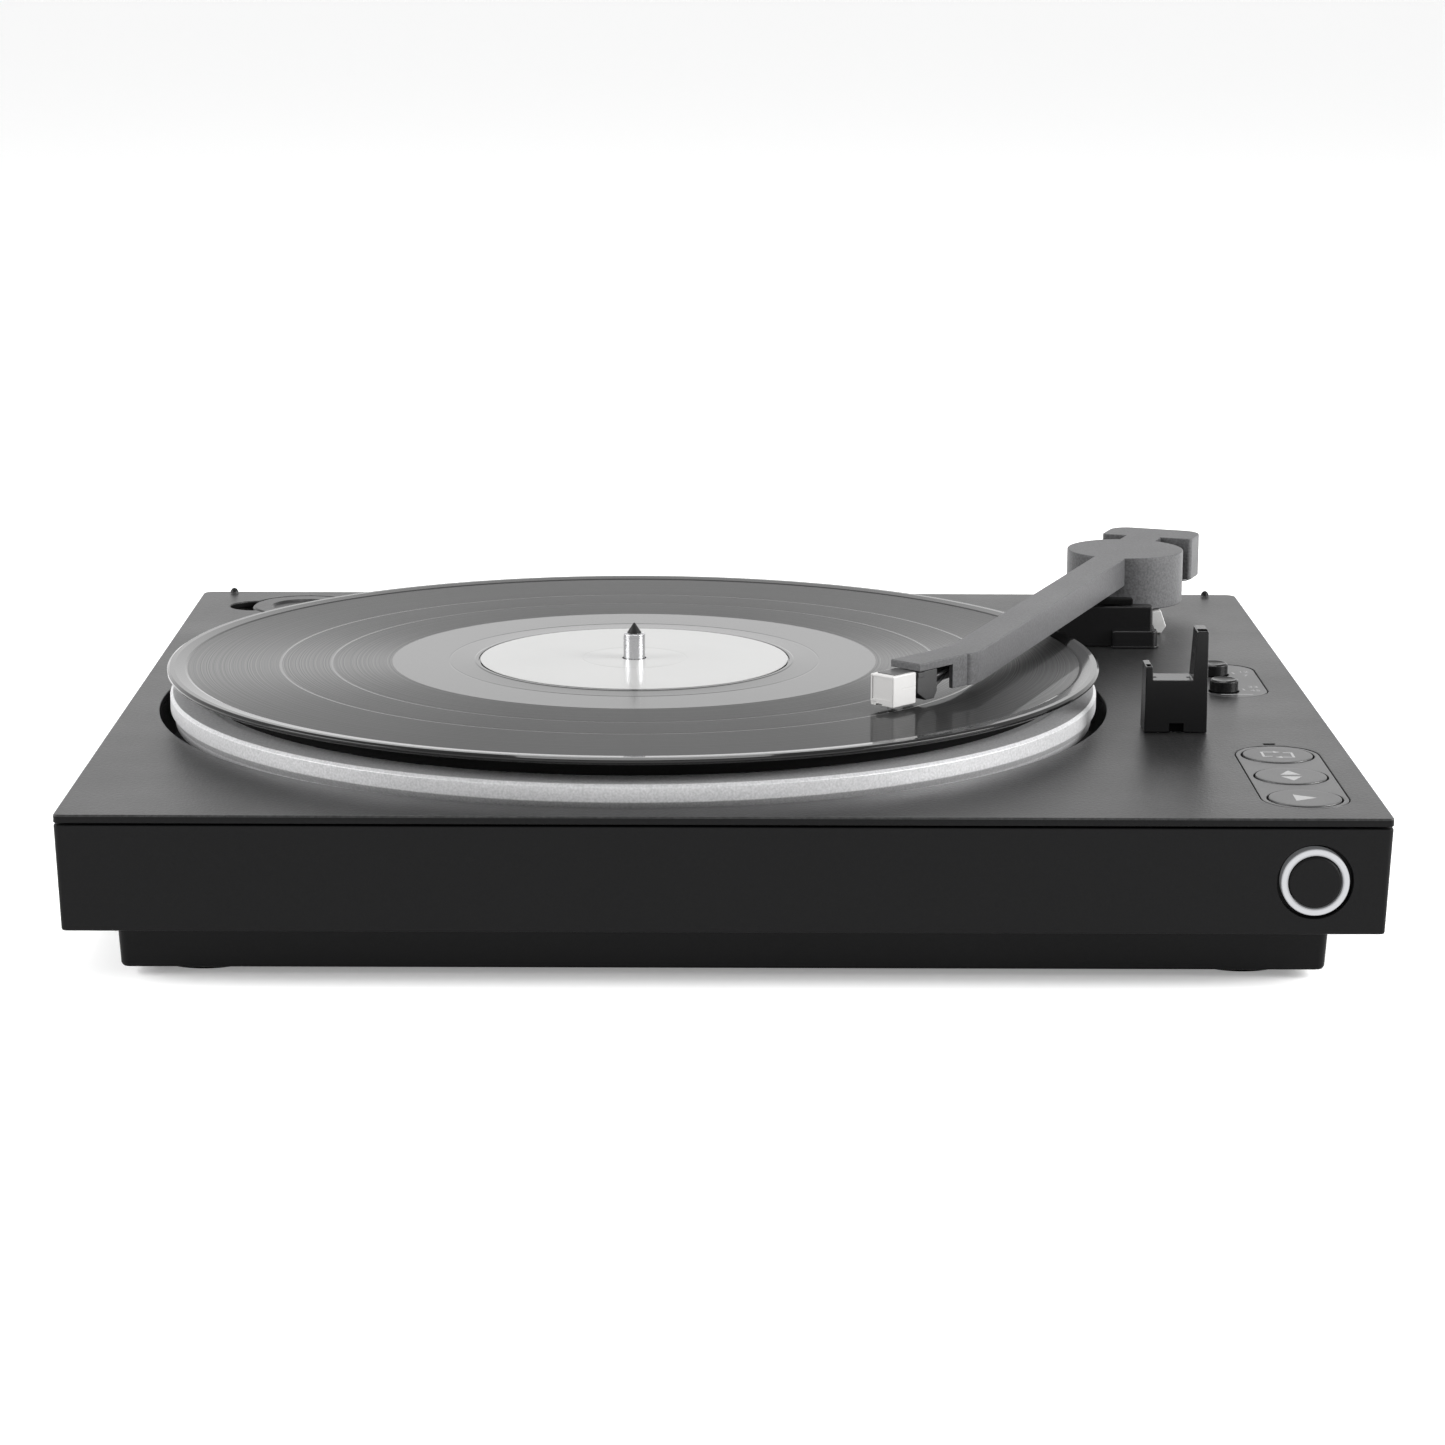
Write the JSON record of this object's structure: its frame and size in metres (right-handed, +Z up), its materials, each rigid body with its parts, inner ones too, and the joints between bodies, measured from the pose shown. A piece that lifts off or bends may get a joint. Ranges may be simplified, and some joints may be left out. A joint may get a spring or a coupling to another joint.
{
  "type": "turntable record player",
  "caption": "Low rectangular belt-drive record player with a platter and record, a straight tonearm on a drum pivot, an arm rest, round push buttons and a lit power button.",
  "frame": {"origin": "middle of the footprint, on the surface that the four feet stand on", "axes": "+X to the listener's right along the wide side, +Y from the front edge to the rear edge, +Z up"},
  "size_m": [0.3844, 0.355, 0.0848],
  "materials": {
    "deck_plastic": "fine-textured matt black",
    "body_plastic": "satin black",
    "arm_plastic": "fine-textured dark grey",
    "black_plastic": "semi-gloss black",
    "platter_metal": "fine turned and clear coated",
    "steel": "polished or plated",
    "weight_iron": "painted black",
    "mat_rubber": "matt black",
    "vinyl": "glossy, grooved",
    "label_card": "smooth off-white paper",
    "white_plastic": "smooth white",
    "pale_plastic": "light grey",
    "nylon": "natural nylon",
    "brass": "turned",
    "circuit_board": "green lacquer",
    "light": "clear diffusing plastic over a white lamp"
  },
  "bodies": {
    "chassis": {"top_plate": "deck_plastic", "plinth_shell": "body_plastic", "base_tray": "body_plastic", "selector_switch_body": "body_plastic", "power_switch_body": "body_plastic", "arm_base": "black_plastic", "lifter_housing": "black_plastic", "arm_rest": "black_plastic", "cover_pin_left": "black_plastic", "cover_pin_right": "black_plastic", "button_panel": "black_plastic", "selector_panel": "black_plastic", "dc_jack": "black_plastic", "motor_body": "steel", "motor_bracket": "steel", "rca_jack_left": "steel", "rca_jack_right": "steel", "drive_belt": "mat_rubber", "foot_front_left": "mat_rubber", "foot_front_right": "mat_rubber", "foot_rear_left": "mat_rubber", "foot_rear_right": "mat_rubber", "arm_stop": "pale_plastic", "thrust_pad": "nylon", "bearing_housing": "brass", "main_board": "circuit_board", "button_board": "circuit_board", "status_light": "light", "light_ring": "light"},
    "platter_body": {"platter": "platter_metal", "slip_mat": "mat_rubber", "record_disc": "vinyl", "record_label": "label_card", "spindle": "steel", "hub_gear": "nylon"},
    "motor_rotor": {"motor_pulley": "brass", "motor_shaft": "steel"},
    "cam": {"cam_gear": "nylon"},
    "drive_lever": {"arm_drive_lever": "steel"},
    "arm_pivot": {"pivot_yoke": "black_plastic", "pivot_shaft": "steel", "trip_plate": "steel"},
    "tonearm": {"arm_shell": "arm_plastic", "counterweight": "weight_iron", "counterweight_screw": "steel", "gimbal_pin": "steel", "cartridge_body": "black_plastic", "stylus_holder": "white_plastic", "stylus": "steel", "cartridge_leads": "mat_rubber"},
    "lifter": {"lift_bar": "mat_rubber", "lift_rod": "steel"},
    "adapter": {"adapter_45": "black_plastic"},
    "repeat_key": {"repeat_button": "black_plastic"},
    "lift_key": {"lift_button": "black_plastic"},
    "start_key": {"start_button": "black_plastic"},
    "size_key": {"size_button": "black_plastic"},
    "speed_key": {"speed_button": "black_plastic"},
    "power_key": {"power_button": "black_plastic"},
    "output_key": {"output_switch": "black_plastic"}
  },
  "joints": [
    {"name": "platter_spin", "type": "hinge", "parent": "chassis", "child": "platter_body", "pos_m": [-0.0286, -0.0135, 0.0522], "axis": [0, 0, 1], "continuous": true},
    {"name": "motor_spin", "type": "hinge", "parent": "chassis", "child": "motor_rotor", "pos_m": [-0.09628, 0.08316, 0.0422], "axis": [0, 0, 1], "continuous": true},
    {"name": "cam_turn", "type": "hinge", "parent": "chassis", "child": "cam", "pos_m": [-0.00289, 0.01714, 0.0422], "axis": [0, 0, 1], "range_deg": [-8, 8]},
    {"name": "lever_swing", "type": "hinge", "parent": "chassis", "child": "drive_lever", "pos_m": [0.074, 0.08, 0.0312], "axis": [0, 0, 1], "range_deg": [-4, 4]},
    {"name": "tonearm_swing", "type": "hinge", "parent": "chassis", "child": "arm_pivot", "pos_m": [0.1448, 0.1201, 0.0672], "axis": [0, 0, 1], "range_deg": [-14.1, 14.3]},
    {"name": "tonearm_lift", "type": "hinge", "parent": "arm_pivot", "child": "tonearm", "pos_m": [0.1448, 0.1201, 0.0672], "axis": [-0.9379, 0.3469, 0], "range_deg": [0, 6]},
    {"name": "cue_lift", "type": "slide", "parent": "chassis", "child": "lifter", "axis": [0, 0, 1], "range_m": [0, 0.0044]},
    {"name": "adapter_lift", "type": "slide", "parent": "chassis", "child": "adapter", "axis": [0, 0, 1], "range_m": [0, 0.03]},
    {"name": "repeat_press", "type": "slide", "parent": "chassis", "child": "repeat_key", "axis": [0, 0, -1], "range_m": [0, 0.0012], "stiffness_N_per_m": 300},
    {"name": "lift_press", "type": "slide", "parent": "chassis", "child": "lift_key", "axis": [0, 0, -1], "range_m": [0, 0.0012], "stiffness_N_per_m": 300},
    {"name": "start_press", "type": "slide", "parent": "chassis", "child": "start_key", "axis": [0, 0, -1], "range_m": [0, 0.0012], "stiffness_N_per_m": 300},
    {"name": "size_press", "type": "slide", "parent": "chassis", "child": "size_key", "axis": [0, 0, -1], "range_m": [0, 0.002]},
    {"name": "speed_press", "type": "slide", "parent": "chassis", "child": "speed_key", "axis": [0, 0, -1], "range_m": [0, 0.002]},
    {"name": "power_press", "type": "slide", "parent": "chassis", "child": "power_key", "axis": [0, 1, 0], "range_m": [0, 0.001], "stiffness_N_per_m": 300},
    {"name": "output_select", "type": "slide", "parent": "chassis", "child": "output_key", "axis": [1, 0, 0], "range_m": [0, 0.004]}
  ],
  "couplings": [
    {"joint": "motor_spin", "follows": "platter_spin", "ratio": 16.79},
    {"joint": "cue_lift", "follows": "tonearm_lift", "m_per_rad": 0.041}
  ]
}
